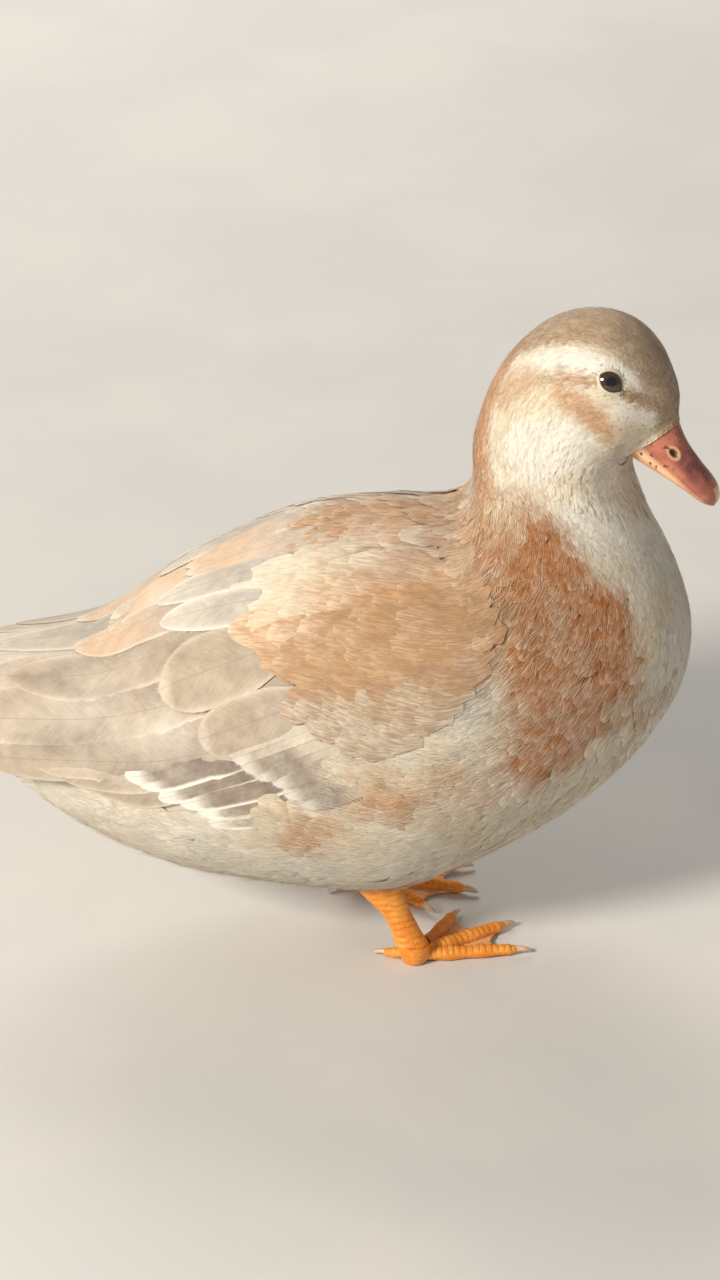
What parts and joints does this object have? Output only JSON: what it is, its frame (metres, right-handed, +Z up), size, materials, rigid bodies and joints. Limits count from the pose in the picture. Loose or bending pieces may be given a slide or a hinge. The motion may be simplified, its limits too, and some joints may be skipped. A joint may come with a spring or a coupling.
{
  "type": "bantam call duck",
  "caption": "Small standing duck with a round head, short bill, plump breast, folded wings and flat tail, a still life-size model.",
  "frame": {"origin": "on the floor under the middle of the whole bird's length and width", "axes": "+X the way the bird's body faces, +Y its left, +Z up"},
  "size_m": [0.276, 0.131, 0.2296],
  "materials": {
    "body_coat": "soft feathers, apricot breast and back, cream belly",
    "neck_coat": "soft feathers, cream collar",
    "head_coat": "short soft feathers, fawn cap and cream cheeks",
    "wing_coat": "smooth vaned feathers, cream and grey-brown",
    "tail_coat": "smooth white vaned feathers",
    "eye": "wet dark brown",
    "bill": "smooth orange-pink horn with dark specks",
    "leg_skin": "wrinkled orange skin",
    "claw": "pale horn"
  },
  "bodies": {
    "root": {"torso": "body_coat", "neck": "neck_coat", "head": "head_coat", "wing_left": "wing_coat", "wing_right": "wing_coat", "tail": "tail_coat", "eye_left": "eye", "eye_right": "eye", "bill_upper": "bill", "bill_lower": "bill", "shank_left": "leg_skin", "shank_right": "leg_skin", "foot_left": "leg_skin", "foot_right": "leg_skin", "claw_inner_left": "claw", "claw_middle_left": "claw", "claw_outer_left": "claw", "claw_hind_left": "claw", "claw_inner_right": "claw", "claw_middle_right": "claw", "claw_outer_right": "claw", "claw_hind_right": "claw"}
  },
  "joints": []
}
